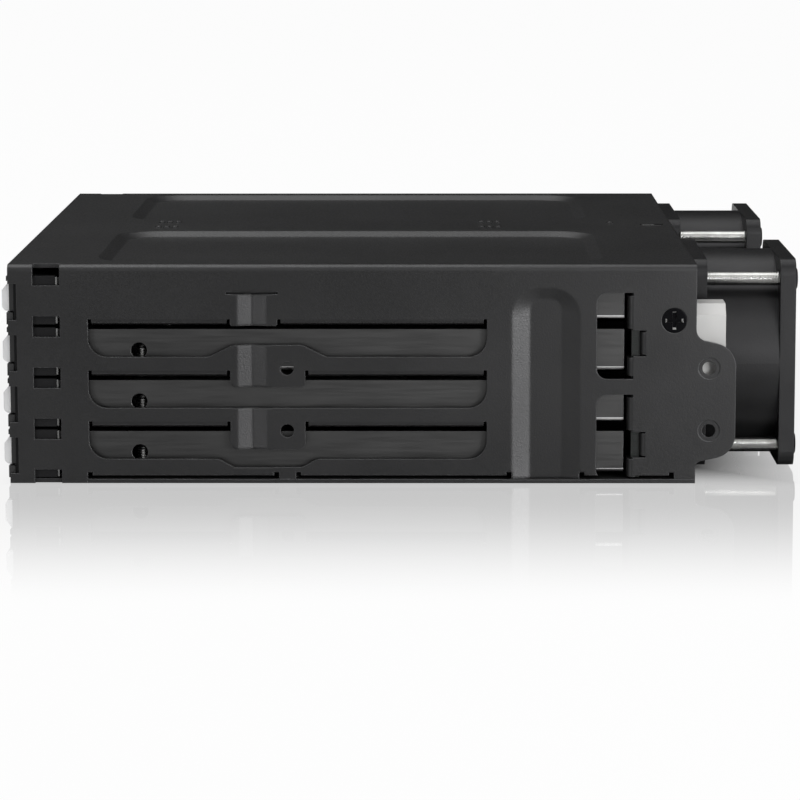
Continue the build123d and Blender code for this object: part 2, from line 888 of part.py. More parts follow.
def make_fan_frame(side):
    """Fan frame: a round duct between two square flanges, with the motor base on rear struts."""
    centre = (side * fan_x, fan_z)
    half = fan_hole_spacing / 2
    corners = [(centre[0] + dx, centre[1] + dz) for dx in (-half, half) for dz in (-half, half)]
    with BuildPart() as frame:
        for start in (fan_front, fan_rear - fan_flange):
            with BuildSketch(facing_front(start)):
                with Locations(centre):
                    RectangleRounded(fan_size, fan_size, fan_corner)
            extrude(amount=-fan_flange)
        with BuildSketch(facing_front(fan_front)):
            with Locations(centre):
                Circle(fan_size / 2)
        extrude(amount=-fan_depth)
        with BuildSketch(facing_front(fan_front)):
            with Locations(centre):
                Circle(fan_bore_radius)
        extrude(amount=-fan_depth, mode=Mode.SUBTRACT)
        # Motor base and its struts at the outlet
        with BuildSketch(facing_front(fan_rear - fan_base_thickness)):
            with Locations(centre):
                Circle(fan_base_radius)
                with PolarLocations(0, fan_strut_count, start_angle=fan_strut_angle):
                    with Locations(((fan_base_radius + fan_bore_radius) / 2, 0)):
                        Rectangle(fan_bore_radius - fan_base_radius + 2 * hub_wall, fan_strut_width)
        extrude(amount=-fan_base_thickness)
        # Bearing tube
        tube_start = fan_front + fan_tube_inset
        with BuildSketch(facing_front(tube_start)):
            with Locations(centre):
                Circle(fan_tube_radius)
        extrude(amount=tube_start - fan_rear)
        bore_end = fan_rear - fan_base_thickness / 2
        with BuildSketch(facing_front(tube_start)):
            with Locations(centre):
                Circle(fan_shaft_radius + fan_shaft_play)
        extrude(amount=tube_start - bore_end, mode=Mode.SUBTRACT)
        # Screw holes, sunk at the rear for the screw heads
        with BuildSketch(facing_front(fan_front)):
            with Locations(*corners):
                Circle(fan_hole_radius)
        extrude(amount=-fan_depth, mode=Mode.SUBTRACT)
        sink = screw_head_height - screw_head_proud
        with BuildSketch(facing_front(fan_rear - sink)):
            with Locations(*corners):
                Circle(screw_head_radius + screw_head_play)
        extrude(amount=-sink, mode=Mode.SUBTRACT)
    return frame


def blade_section(plane, angle, chord):
    """Cambered blade section, slanted by an angle from the fan's axis, the plane's own Y."""
    lean = math.radians(angle)
    along = (math.sin(lean), math.cos(lean))
    across = (math.cos(lean), -math.sin(lean))
    half = chord / 2
    ends = [(-half * along[0], -half * along[1]), (half * along[0], half * along[1])]
    inner = (across[0] * blade_camber, across[1] * blade_camber)
    bow = blade_camber + blade_thickness
    outer = (across[0] * bow, across[1] * bow)
    with BuildSketch(plane) as section:
        with BuildLine():
            ThreePointArc(ends[0], inner, ends[1])
            ThreePointArc(ends[1], outer, ends[0])
        make_face()
    return section.sketch


def make_fan_rotor(side):
    """Fan rotor: a hub cup on its shaft with twisted blades."""
    centre = (side * fan_x, fan_z)
    hub_front = fan_front + hub_front_gap
    hub_rear = fan_rear - fan_base_thickness - hub_rear_gap
    blade_front = fan_front + blade_front_gap
    blade_rear = fan_rear - blade_rear_gap
    blade_middle = (blade_front + blade_rear) / 2
    tip_radius = fan_bore_radius - fan_tip_play
    reach = blade_rear - blade_front
    with BuildPart() as rotor:
        with BuildSketch(facing_front(hub_front)):
            with Locations(centre):
                Circle(hub_radius)
        extrude(amount=hub_front - hub_rear)
        fillet(rotor.edges().filter_by(GeomType.CIRCLE).sort_by(Axis.Y)[0], hub_wall)
        for step in range(blade_count):
            turn = 2 * math.pi * step / blade_count
            outward = (math.cos(turn), 0, math.sin(turn))
            around = (-math.sin(turn), 0, math.cos(turn))
            sections = []
            for radius, angle in ((hub_radius - hub_wall / 2, blade_root_angle), (tip_radius, blade_tip_angle)):
                origin = (centre[0] + outward[0] * radius, y_at(blade_middle), centre[1] + outward[2] * radius)
                plane = Plane(origin=origin, x_dir=around, z_dir=outward)
                chord = reach / math.cos(math.radians(angle)) * blade_share(angle)
                sections.append(blade_section(plane, angle, chord))
            loft(sections=sections)
        # Blade tips trimmed to the duct
        with BuildSketch(facing_front(fan_front)):
            with Locations(centre):
                Circle(fan_size)
                Circle(tip_radius, mode=Mode.SUBTRACT)
        extrude(amount=-fan_depth, mode=Mode.SUBTRACT)
        with BuildSketch(facing_front(hub_front + 2 * hub_wall)):
            with Locations(centre):
                Circle(hub_radius - hub_wall)
        extrude(amount=hub_front + 2 * hub_wall - hub_rear, mode=Mode.SUBTRACT)
        shaft_end = fan_rear - fan_base_thickness / 2 - hub_rear_gap
        with BuildSketch(facing_front(hub_front + hub_wall)):
            with Locations(centre):
                Circle(fan_shaft_radius)
        extrude(amount=hub_front + hub_wall - shaft_end)
    return rotor


def blade_share(angle):
    """Part of the room along the axis that a blade section takes up at an angle."""
    return 1.0 - (angle - blade_root_angle) / blade_taper_angle


def make_fan_screws():
    """Eight screws that hold the fans to the rear panel."""
    head_start = fan_rear + screw_head_proud - screw_head_height
    with BuildPart() as screws:
        with BuildSketch(facing_front(head_start)):
            with Locations(*fan_screw_spots()):
                Circle(screw_head_radius)
        extrude(amount=-screw_head_height)
        with BuildSketch(facing_front(panel_front - screw_end)):
            with Locations(*fan_screw_spots()):
                Circle(screw_shank_radius)
        extrude(amount=panel_front - screw_end - head_start)
    return screws


def make_tray_pan():
    """Pan of the lowest tray on the right: floor, two side walls and an open front flange."""
    low = pan_floor(0)
    high = low + pan_height
    wall = pan_sheet
    with BuildPart() as pan:
        with BuildSketch(facing_front(pan_front)):
            with BuildLine():
                FilletPolyline(
                    (tray_inner, high), (tray_inner, low), (tray_outer, low), (tray_outer, high),
                    (tray_outer - wall, high), (tray_outer - wall, low + wall),
                    (tray_inner + wall, low + wall), (tray_inner + wall, high),
                    radius=[0, pan_bend, pan_bend, 0, 0, pan_bend - wall, pan_bend - wall, 0], close=True)
            make_face()
        extrude(amount=-pan_length)
        # Front flange that the tray front is riveted to, open for the air
        with BuildSketch(facing_front(pan_front)):
            box_sketch(tray_inner + wall / 2, tray_outer - wall / 2, low + wall / 2, high)
            grille_width = (vent_count - 1) * vent_pitch + vent_width
            with Locations((vent_start + grille_width / 2, low + pan_height / 2)):
                Rectangle(grille_width, pan_grille_height, mode=Mode.SUBTRACT)
        extrude(amount=-wall)
        # Pads under the drive's four bottom screws
        near = pan_front - wall + drive_hole_from_front
        holes = [(tray_centre + across * drive_bottom_hole_spacing / 2, near + along * drive_hole_pitch)
                 for across in (-1, 1) for along in (0, 1)]
        with BuildSketch(seen_from_top(low + wall)):
            with Locations(*holes):
                Circle(pad_radius)
        extrude(amount=pad_height)
        with BuildSketch(seen_from_top(low)):
            with Locations(*holes):
                Circle(drive_hole_radius)
        extrude(amount=wall + pad_height, mode=Mode.SUBTRACT)
        # Side screw holes, through both walls
        side_hole_z = low + wall + pad_height + drive_hole_height
        with BuildSketch(seen_from_side(tray_inner - wall)):
            with Locations((near, side_hole_z), (near + drive_hole_pitch, side_hole_z)):
                Circle(drive_hole_radius)
        extrude(amount=tray_width + 2 * wall, mode=Mode.SUBTRACT)
        # Open floor
        pitch = (pan_length - pan_window_margin) / pan_window_count
        first = pan_front + pan_window_margin / 2 + pitch / 2
        width = tray_width - 2 * pan_window_margin
        with BuildSketch(seen_from_top(low)):
            with Locations(*[(tray_centre, first + step * pitch) for step in range(pan_window_count)]):
                RectangleRounded(width, pan_window_length, pan_window_radius)
        extrude(amount=wall, mode=Mode.SUBTRACT)
    return pan


def vent_spots(low):
    """Middles of the air openings in a tray front, in X and Z."""
    first = vent_start + vent_width / 2
    return [(first + step * vent_pitch, low + bezel_height / 2) for step in range(vent_count)]


def button_limits():
    """Limits of the release button across X, and in Z for the lowest tray."""
    outer = bezel_outer - button_inset
    low = pan_floor(0) + button_rise
    return (outer - button_width, outer, low, low + button_height)


def make_tray_bezel():
    """Front block of the lowest tray on the right, with the hinge lugs, air openings and button pocket."""
    low = pan_floor(0) - bezel_drop
    high = low + bezel_height
    left, right, button_low, button_high = button_limits()
    pin_depth = hinge_depth()
    with BuildPart() as bezel:
        box_solid((bezel_inner, bezel_outer), (bezel_front, pan_front), (low, high))
        with BuildSketch(facing_front(bezel_front)):
            with Locations(*vent_spots(low)):
                Rectangle(vent_width, vent_height)
        extrude(amount=bezel_front - pan_front, mode=Mode.SUBTRACT)
        # Room for the lever's barrel between the two lugs
        with BuildSketch(seen_from_top(low + lug_height)):
            with Locations((pin_inset, pin_depth)):
                Circle(barrel_radius + swing_play)
        extrude(amount=bezel_height - 2 * lug_height, mode=Mode.SUBTRACT)
        for start in (low, high - lug_height):
            with BuildSketch(seen_from_top(start)):
                with Locations((pin_inset, pin_depth)):
                    Circle(lug_radius)
            extrude(amount=lug_height)
        with BuildSketch(seen_from_top(low)):
            with Locations((pin_inset, pin_depth)):
                Circle(pin_radius + pin_fit)
        extrude(amount=bezel_height, mode=Mode.SUBTRACT)
        # Pocket that guides the release button
        pocket_end = button_depth + button_travel + button_spring_room
        box_solid((left - button_play, right + button_play), (bezel_front, pocket_end),
                  (button_low - button_play, button_high + button_play), Mode.SUBTRACT)
    return bezel


def hinge_depth():
    """Distance of the lever's pin behind the cage's front edge."""
    return lever_front + barrel_radius


def make_tray_lever():
    """Front lever of the lowest tray on the right: a grille plate, notched round the button, on a barrel."""
    low = pan_floor(0) - bezel_drop
    high = low + bezel_height
    left, right, button_low, button_high = button_limits()
    pin_depth = hinge_depth()
    plate_start = pin_inset + barrel_radius + lug_play
    barrel_low = low + lug_height + lug_play
    barrel_high = high - lug_height - lug_play
    with BuildPart() as lever:
        box_solid((plate_start, bezel_outer), (lever_front, lever_back), (low, high))
        box_solid((pin_inset, plate_start), (lever_front, lever_back), (barrel_low, barrel_high))
        with BuildSketch(seen_from_top(barrel_low)):
            with Locations((pin_inset, pin_depth)):
                Circle(barrel_radius)
        extrude(amount=barrel_high - barrel_low)
        with BuildSketch(seen_from_top(low)):
            with Locations((pin_inset, pin_depth)):
                Circle(pin_radius + pin_play)
        extrude(amount=bezel_height, mode=Mode.SUBTRACT)
        with BuildSketch(facing_front(lever_front)):
            with Locations(*vent_spots(low)):
                Rectangle(vent_width, vent_height)
            box_sketch(left - lever_side_play, bezel_outer + lever_side_play,
                       button_low - lever_play, button_high + lever_play)
        extrude(amount=-lever_thickness, mode=Mode.SUBTRACT)
    return lever


def make_hinge_pin():
    """Pin through the lugs and the barrel of the lowest lever on the right."""
    low = pan_floor(0) - bezel_drop
    with BuildPart() as pin:
        with BuildSketch(seen_from_top(low)):
            with Locations((pin_inset, hinge_depth())):
                Circle(pin_radius)
        extrude(amount=bezel_height)
    return pin


def make_release_button():
    """Release button of the lowest tray on the right, sloped at the top and round at the bottom."""
    left, right, low, high = button_limits()
    with BuildPart() as button:
        with BuildSketch(seen_from_side(left)):
            with BuildLine():
                FilletPolyline(
                    (button_depth, low), (-button_proud, low), (-button_proud, high - button_chamfer),
                    (0, high), (button_depth, high), radius=[0, button_round, 0, 0, 0], close=True)
            make_face()
        extrude(amount=right - left)
    return button


def place_in_bay(piece, side, row):
    """Copy of a lowest right piece, lifted to its row and mirrored for the left column."""
    with BuildPart() as placed:
        with Locations((0, 0, row * bay_pitch)):
            add(piece.part)
        if side < 0:
            mirror(about=Plane.YZ, mode=Mode.REPLACE)
    return placed


def main():
    os.makedirs("parts", exist_ok=True)
    write(make_top_shell(), "top_shell")
    write(make_bottom_plate(), "bottom_plate")
    write(make_centre_divider(), "centre_divider")
    write(make_rear_panel(), "rear_panel")
    write(make_backplane_board(), "backplane_board")
    write(make_drive_sockets(), "drive_sockets")
    write(make_data_ports(), "data_ports")
    write(make_power_sockets(), "power_sockets")
    write(make_power_pins(), "power_pins")
    write(make_fan_headers(), "fan_headers")
    write(make_cover_screws(), "cover_screws")
    write(make_fan_screws(), "fan_screws")
    for side, word in ((-1, "left"), (1, "right")):
        write(make_fan_frame(side), f"fan_frame_{word}")
        write(make_fan_rotor(side), f"fan_rotor_{word}")
    tray_pieces = {
        "tray_pan": make_tray_pan(),
        "tray_bezel": make_tray_bezel(),
        "tray_lever": make_tray_lever(),
        "hinge_pin": make_hinge_pin(),
        "release_button": make_release_button(),
    }
    for number, (side, row) in enumerate(bay_list, start=1):
        for name, piece in tray_pieces.items():
            write(place_in_bay(piece, side, row), f"{name}_{number}")


main()
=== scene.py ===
import json
import math

import bpy
from mathutils import Matrix, Vector
from mathutils.geometry import tessellate_polygon


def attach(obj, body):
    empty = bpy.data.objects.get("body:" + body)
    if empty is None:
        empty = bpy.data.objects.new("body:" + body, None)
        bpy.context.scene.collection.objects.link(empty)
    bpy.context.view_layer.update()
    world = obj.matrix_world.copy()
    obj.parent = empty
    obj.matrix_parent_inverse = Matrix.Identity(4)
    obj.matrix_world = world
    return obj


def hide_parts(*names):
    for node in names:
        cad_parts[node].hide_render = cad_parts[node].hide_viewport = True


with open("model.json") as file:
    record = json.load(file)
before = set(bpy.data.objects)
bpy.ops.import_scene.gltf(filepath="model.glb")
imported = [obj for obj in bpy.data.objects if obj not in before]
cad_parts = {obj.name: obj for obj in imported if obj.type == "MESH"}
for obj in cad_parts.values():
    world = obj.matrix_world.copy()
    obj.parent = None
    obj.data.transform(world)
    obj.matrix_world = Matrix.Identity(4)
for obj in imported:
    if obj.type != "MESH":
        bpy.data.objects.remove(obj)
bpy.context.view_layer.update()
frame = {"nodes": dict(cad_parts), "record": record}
nodes = frame["nodes"]


# Camera at the photograph's viewing angle: its place in metres, its lens and sensor in millimetres
CAMERA_PLACE = (0.75525, 0.00520, 0.11780)
CAMERA_AIM = (-0.98899, -0.00851, -0.14777)
CAMERA_ROLL = math.radians(-0.062)
CAMERA_LENS = 165.19
SENSOR_WIDTH = 36.0


def make_camera():
    data = bpy.data.cameras.new("photo_camera")
    data.sensor_width = SENSOR_WIDTH
    data.lens = CAMERA_LENS
    camera = bpy.data.objects.new("photo_camera", data)
    bpy.context.scene.collection.objects.link(camera)
    camera.location = CAMERA_PLACE
    camera.rotation_euler = Vector(CAMERA_AIM).to_track_quat("-Z", "Y").to_euler()
    camera.rotation_euler.rotate_axis("Z", CAMERA_ROLL)
    bpy.context.scene.camera = camera


# Node helpers, with lengths in metres
BEVEL_SAMPLES = 4
EDGE_GAIN = 6.0
# Where the cage sheet holds pressed forms: the side walls' channel and groove, and the top panels
WALL_FROM = 0.0712
CHANNEL_ALONG = (0.0186, 0.0349)
GROOVE_ALONG = (-0.0322, -0.0247)
TOP_WITHIN = 0.0704
TOP_FROM = 0.0395


class Nodes:
    """The node tree of a material or of the world, with short calls for the nodes that these share."""

    def __init__(self, owner, output):
        owner.use_nodes = True
        self.owner = owner
        self.tree = owner.node_tree
        self.tree.nodes.clear()
        self.output = self.new(output)
        self.places = self.new("ShaderNodeTexCoord").outputs

    def new(self, kind, sockets=None, **settings):
        """New node with its settings, and with a link or a constant for each socket that is given."""
        node = self.tree.nodes.new(kind)
        for key, value in settings.items():
            setattr(node, key, value)
        for key, value in (sockets or {}).items():
            self.feed(node.inputs[key], value)
        return node

    def feed(self, socket, value):
        """Link another node's value to a socket, or set a constant on the socket itself."""
        if hasattr(value, "links"):
            self.tree.links.new(value, socket)
        else:
            socket.default_value = value

    def noise(self, scale, detail=3.0, stretch=None):
        """Noise in the object's own space; scale is in cells per metre."""
        vector = self.places["Object"]
        if stretch:
            vector = self.new("ShaderNodeMapping", {"Scale": stretch, "Vector": vector}).outputs["Vector"]
        sockets = {"Scale": scale, "Detail": detail, "Vector": vector}
        return self.new("ShaderNodeTexNoise", sockets).outputs["Fac"]

    def remap(self, value, low, high, start=0.3, end=0.7, smooth=False):
        """Carry the range from start to end over to the range from low to high, and stop at its ends."""
        sockets = {"Value": value, "From Min": start, "From Max": end, "To Min": low, "To Max": high}
        course = "SMOOTHSTEP" if smooth else "LINEAR"
        return self.new("ShaderNodeMapRange", sockets, interpolation_type=course).outputs["Result"]

    def uneven(self, value, rough, below=0.05, above=0.08):
        """Roughness that a noise varies a little."""
        return self.remap(value, rough - below, rough + above)

    def math(self, operation, first, second=0.0):
        return self.new("ShaderNodeMath", {0: first, 1: second}, operation=operation).outputs[0]

    def between(self, value, low, high):
        """1 between two limits and 0 outside them."""
        above = self.math("GREATER_THAN", value, low)
        return self.math("MULTIPLY", above, self.math("LESS_THAN", value, high))

    def blend(self, factor, first, second):
        """Mix of two colours, each a link or a constant."""
        node = self.new("ShaderNodeMix", {"Factor": factor}, data_type="RGBA")
        inputs = [socket for socket in node.inputs if socket.type == "RGBA"]
        for socket, value in zip(inputs, (first, second)):
            self.feed(socket, value if hasattr(value, "links") else (*value, 1.0))
        return [socket for socket in node.outputs if socket.type == "RGBA"][0]

    def cloudy(self, first, second, scale, detail=3.0):
        """Two colours in soft patches."""
        return self.blend(self.remap(self.noise(scale, detail), 0.0, 1.0), first, second)

    def axis(self, name, source="Object"):
        """One coordinate of the place on the surface, or of the way the surface faces."""
        return self.new("ShaderNodeSeparateXYZ", {0: self.places[source]}).outputs[name]

    def bevel(self, radius):
        return self.new("ShaderNodeBevel", {"Radius": radius}, samples=BEVEL_SAMPLES).outputs["Normal"]

    def bump(self, height, distance, normal):
        sockets = {"Height": height, "Distance": distance, "Normal": normal}
        return self.new("ShaderNodeBump", sockets).outputs["Normal"]

    def edge(self, normal):
        """How far a rounded normal leans from the flat one: bright along edges."""
        flat = self.new("ShaderNodeNewGeometry").outputs["Normal"]
        dot = self.new("ShaderNodeVectorMath", {0: normal, 1: flat}, operation="DOT_PRODUCT")
        lean = self.math("SUBTRACT", 1.0, dot.outputs["Value"])
        return self.math("MINIMUM", self.math("MULTIPLY", lean, EDGE_GAIN), 1.0)

    def pressed(self):
        """1 in the parts of the cage sheet that hold pressed forms: channel, groove and top panels."""
        side = self.math("ABSOLUTE", self.axis("X"))
        wall = self.math("GREATER_THAN", side, WALL_FROM)
        channel = self.between(self.axis("Y"), *CHANNEL_ALONG)
        groove = self.between(self.axis("Y"), *GROOVE_ALONG)
        forms = self.math("MULTIPLY", wall, self.math("MAXIMUM", channel, groove))
        inside = self.math("LESS_THAN", side, TOP_WITHIN)
        top = self.math("MULTIPLY", inside, self.math("GREATER_THAN", self.axis("Z"), TOP_FROM))
        return self.math("MAXIMUM", forms, top)

    def rays(self):
        """1 for the rays that see the white surroundings, and 1 for those of a blurred reflection."""
        path = self.new("ShaderNodeLightPath").outputs
        through = self.math("MAXIMUM", path["Is Glossy Ray"], path["Is Transmission Ray"])
        seen = self.math("MAXIMUM", path["Is Camera Ray"], through)
        not_sharp = self.math("SUBTRACT", 1.0, path["Is Singular Ray"])
        return seen, self.math("MULTIPLY", path["Is Glossy Ray"], not_sharp)

    def mixed(self, factor, first, second):
        """Mix of two shader nodes."""
        return self.new("ShaderNodeMixShader", {0: factor, 1: first.outputs[0], 2: second.outputs[0]})

    def close(self, shader):
        """End the tree with a shader node."""
        self.feed(self.output.inputs["Surface"], shader.outputs[0])
        return self.owner

    def surface(self, color, roughness, normal, metallic=0.0, specular=0.5):
        """End the tree with one surface, whose metallic and specular levels are constants."""
        sockets = {"Base Color": color, "Roughness": roughness, "Normal": normal,
                   "Metallic": metallic, "Specular IOR Level": specular}
        return self.close(self.new("ShaderNodeBsdfPrincipled", sockets))


def material_nodes(name):
    return Nodes(bpy.data.materials.new(name), "ShaderNodeOutputMaterial")


def grey(level):
    return (level, level, level)


def shade(color, factor):
    return [c * factor for c in color]


# Finishes, with radii and depths in metres and noise in cells per metre
PLASTIC_GRAIN = 2600.0
PLASTIC_PATCHES = 80.0
CAGE_FRONT = -0.0741
FRONT_FACING = -0.5
# Normals that get the tray sheet's painted reflection: faces that lean downward
PAINTED_REFLECTION_FACING = (-0.97, -0.12)


def painted(name, base, worn_and_highlight, rough, grain, round_edge=0.00025, pressed_edge=None):
    """Powder coat: a fine pebbled skin, uneven gloss, and edges a little lighter, partly wear and partly a
    painted highlight.

    With pressed_edge, the edges of the cage's pressed forms are that wide and aren't lightened.
    """
    n = material_nodes(name)
    if pressed_edge:
        pressed = n.pressed()
        wider = n.math("MULTIPLY", pressed, pressed_edge - round_edge)
        soft = n.bevel(n.math("ADD", wider, round_edge))
        lightened = n.math("MULTIPLY", n.edge(soft), n.math("SUBTRACT", 1.0, pressed))
    else:
        soft = n.bevel(round_edge)
        lightened = n.edge(soft)
    # Lighter edges: patchy like wear, and also a painted highlight along edges and bent corners
    lightened = n.math("MULTIPLY", lightened, n.remap(n.noise(scale=900.0), low=0.25, high=1.0))
    color = n.blend(lightened, n.cloudy(base, shade(base, 1.25), scale=35.0, detail=4.0), worn_and_highlight)
    skin = n.noise(grain, detail=2.0)
    normal = n.bump(skin, distance=0.00002, normal=soft)
    return n.surface(color, n.uneven(skin, rough), normal, metallic=0.75, specular=0.0)


def rolled_steel(name, base, bright, rough):
    """Satin sheet with fine rolling lines along its length, edges lightened as a painted highlight, and a
    painted reflection on the down-facing curves under the pan.
    """
    n = material_nodes(name)
    soft = n.bevel(radius=0.0002)
    color = n.cloudy(base, shade(base, 1.15), scale=60.0)
    # Painted highlight: edges lighter
    color = n.blend(n.edge(soft), color, shade(base, 1.8))
    # Painted reflection: faces that lean downward, the curves under the pan, in the bright colour
    painted_reflection_mask = n.between(n.axis("Z", "Normal"), *PAINTED_REFLECTION_FACING)
    lightened = n.math("MULTIPLY", painted_reflection_mask, n.remap(n.noise(scale=500.0), low=0.7, high=1.0))
    color = n.blend(lightened, color, bright)
    lines = n.noise(scale=1600.0, stretch=(1.0, 0.06, 1.0))
    normal = n.bump(lines, distance=0.00001, normal=soft)
    return n.surface(color, n.uneven(lines, rough, below=0.07, above=0.1), normal, metallic=1.0)


def moulded(name, base, rough, specular=0.0, metallic=0.35, depth=0.000015):
    """Moulded plastic with a fine spark-eroded grain."""
    n = material_nodes(name)
    color = n.cloudy(base, [c * 1.15 + 0.002 for c in base], PLASTIC_PATCHES, detail=2.0)
    pits = n.noise(PLASTIC_GRAIN, detail=2.0)
    normal = n.bump(pits, depth, n.bevel(radius=0.0002))
    return n.surface(color, n.uneven(pits, rough), normal, metallic, specular)


def two_tone(name, front, body, by_facing):
    """Moulding in a dark plastic with a pale front: its front face, or all that stands proud of the cage."""
    n = material_nodes(name)
    if by_facing:
        mask = n.math("LESS_THAN", n.axis("Y", "Normal"), FRONT_FACING)
    else:
        mask = n.math("LESS_THAN", n.axis("Y"), CAGE_FRONT)
    color = n.blend(mask, body, n.cloudy(front, shade(front, 0.9), PLASTIC_PATCHES, detail=2.0))
    pits = n.noise(PLASTIC_GRAIN, detail=2.0)
    normal = n.bump(pits, distance=0.00001, normal=n.bevel(radius=0.00015))
    return n.surface(color, n.uneven(pits, rough=0.37), normal, specular=0.3)


def plated(name, base, rough, spread=0.1):
    """Smooth metal with light scratches, which are deeper on a finish with more uneven gloss."""
    n = material_nodes(name)
    color = n.cloudy(base, shade(base, 0.85), scale=300.0)
    lines = n.noise(scale=2200.0, stretch=(1.0, 0.3, 1.0))
    normal = n.bump(lines, distance=spread * 0.00004, normal=n.bevel(radius=0.0001))
    return n.surface(color, n.uneven(lines, rough, spread / 2, spread), normal, metallic=1.0)


def board_mask(name):
    """Nearly black solder mask, with the tracks under it a little lighter."""
    n = material_nodes(name)
    quarter = (math.radians(90), 0, 0)
    flat = n.new("ShaderNodeMapping", {"Rotation": quarter, "Vector": n.places["Object"]}).outputs["Vector"]
    pattern = {"Scale": 190.0, "Mortar Size": 0.012, "Brick Width": 1.6, "Vector": flat}
    tracks = n.new("ShaderNodeTexBrick", pattern, offset=0.5).outputs["Fac"]
    color = n.blend(tracks, (0.006, 0.007, 0.0065), (0.010, 0.0135, 0.012))
    roughness = n.uneven(n.noise(scale=1200.0), rough=0.35, above=0.07)
    normal = n.bump(tracks, distance=0.00003, normal=n.bevel(radius=0.0001))
    return n.surface(color, roughness, normal, specular=0.2)


DARK_PLASTIC = (0.014, 0.014, 0.0145)
materials = {
    "case_black": painted("case_black_coat", (0.027, 0.027, 0.0275), (0.075, 0.075, 0.077),
                          rough=0.33, grain=3200.0, pressed_edge=0.0007),
    # The tray sheet's second colour is its painted reflection under the pans
    "tray_steel": rolled_steel("tray_sheet", grey(0.044), grey(0.5), rough=0.36),
    "board_mask": board_mask("board_mask"),
    "connector_black": moulded("connector_black", (0.018, 0.018, 0.02), rough=0.45),
    "connector_white": moulded("connector_white", (0.335, 0.333, 0.328),
                               rough=0.4, specular=0.3, metallic=0.0, depth=0.00001),
    "contact": plated("contact_gold", (0.75, 0.58, 0.28), rough=0.25),
    "fan_black": moulded("fan_black", (0.017, 0.017, 0.0175), rough=0.34, metallic=0.75),
    "screw_black": painted("screw_black", (0.0035, 0.0035, 0.004), grey(0.016),
                           rough=0.3, grain=5000.0, round_edge=0.0001),
    "screw_steel": plated("screw_steel", (0.5, 0.5, 0.49), rough=0.16, spread=0.02),
    "front_dark": moulded("front_dark", DARK_PLASTIC, rough=0.4),
    "lever_silver": two_tone("lever_silver", (0.16, 0.16, 0.165), DARK_PLASTIC, by_facing=True),
    "button_grey": two_tone("button_grey", (0.52, 0.52, 0.525), DARK_PLASTIC, by_facing=False),
}
# Finishes of the small parts that have no slot of their own
tin = plated("tin", (0.55, 0.55, 0.54), rough=0.3)
nickel = plated("nickel", (0.48, 0.48, 0.475), rough=0.28)
# A steel lighter than the pans' own: a painted highlight on their lips
lip_painted_highlight = plated("lip_painted_highlight", (0.17, 0.17, 0.168), rough=0.34)
worn_steel = plated("worn_steel", (0.75, 0.75, 0.74), rough=0.35)
tab_steel = plated("tab_steel", grey(0.035), rough=0.45)
can_sleeve = plated("can_sleeve", (0.5, 0.5, 0.51), rough=0.35)
# Flat black for the painted shadow in the divider's slot
painted_slot_shadow = moulded("painted_slot_shadow", grey(0.004), rough=0.8, metallic=0.0)

slot_of = {part["node"]: part["material_slot"] for part in frame["record"]["subparts"]}
for name, node in nodes.items():
    node.data.materials.clear()
    node.data.materials.append(materials[slot_of[name]])


# Forms of the small parts, in millimetres from here to the studio
MM = 0.001
HEAD_SIDES = 40
CORE_SIDES = 20
LEAF_STEPS = 6
THREAD_PITCH = 0.5
THREAD_DEPTH = 0.54 * THREAD_PITCH
THREAD_STEPS = 20


class Shape:
    """Points and faces of one piece, gathered from several forms."""

    def __init__(self):
        self.points = []
        self.faces = []
        self.kinds = []

    def add(self, points, faces, place=None, kind=0):
        """Add a form; kind says which of the piece's finishes it has."""
        start = len(self.points)
        place = place or Matrix()
        self.points += [place @ Vector(p) for p in points]
        self.faces += [[start + i for i in face] for face in faces]
        self.kinds += [kind] * len(faces)

    def finish(self, name, body, slot, finishes=None, angle=35.0, replaces=()):
        """Make the piece, in its slot's finish unless others are given."""
        mesh = bpy.data.meshes.new(name)
        mesh.from_pydata([p * MM for p in self.points], [], self.faces)
        for finish in finishes or [materials[slot]]:
            mesh.materials.append(finish)
        for polygon, kind in zip(mesh.polygons, self.kinds):
            polygon.material_index = kind
            polygon.use_smooth = True
        mesh.set_sharp_from_angle(angle=math.radians(angle))
        mesh.validate()
        piece = bpy.data.objects.new(name, mesh)
        bpy.context.scene.collection.objects.link(piece)
        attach(piece, body)
        if replaces:
            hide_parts(*replaces)


def facing(direction, spot):
    """Placement whose Z axis points in a direction."""
    turn = Vector(direction).to_track_quat("Z", "Y").to_matrix().to_4x4()
    return Matrix.Translation(spot) @ turn


def ring(radius, height, count):
    turns = [2 * math.pi * i / count for i in range(count)]
    return [(radius * math.cos(turn), radius * math.sin(turn), height) for turn in turns]


def turned(profile, count, close_high=True):
    """Round form from (radius, height) pairs, listed from its lower end."""
    points = []
    for radius, height in profile:
        points += ring(radius, height, count)
    faces = []
    last = (len(profile) - 1) * count
    for low in range(0, last, count):
        high = low + count
        for i in range(count):
            j = (i + 1) % count
            faces.append((low + i, low + j, high + j, high + i))
    faces.append(tuple(reversed(range(count))))
    if close_high:
        faces.append(tuple(last + i for i in range(count)))
    return points, faces


def thread(radius, length):
    """Helical V ridge that runs down from height 0."""
    root = radius - THREAD_DEPTH
    total = int(THREAD_STEPS * length / THREAD_PITCH)
    points = []
    for step in range(total + 1):
        turn = 2 * math.pi * step / THREAD_STEPS
        height = -THREAD_PITCH * step / THREAD_STEPS
        points.append((radius * math.cos(turn), radius * math.sin(turn), height))
        points.append((root * math.cos(turn), root * math.sin(turn), height - THREAD_PITCH / 2))
    faces = []
    for step in range(total):
        crest, low = 2 * step, 2 * step + 1
        faces.append((crest, low, low + 2, crest + 2))
        if step + THREAD_STEPS < total:
            next_crest = 2 * (step + THREAD_STEPS)
            faces.append((low, next_crest, next_crest + 2, low + 2))
    return points, faces


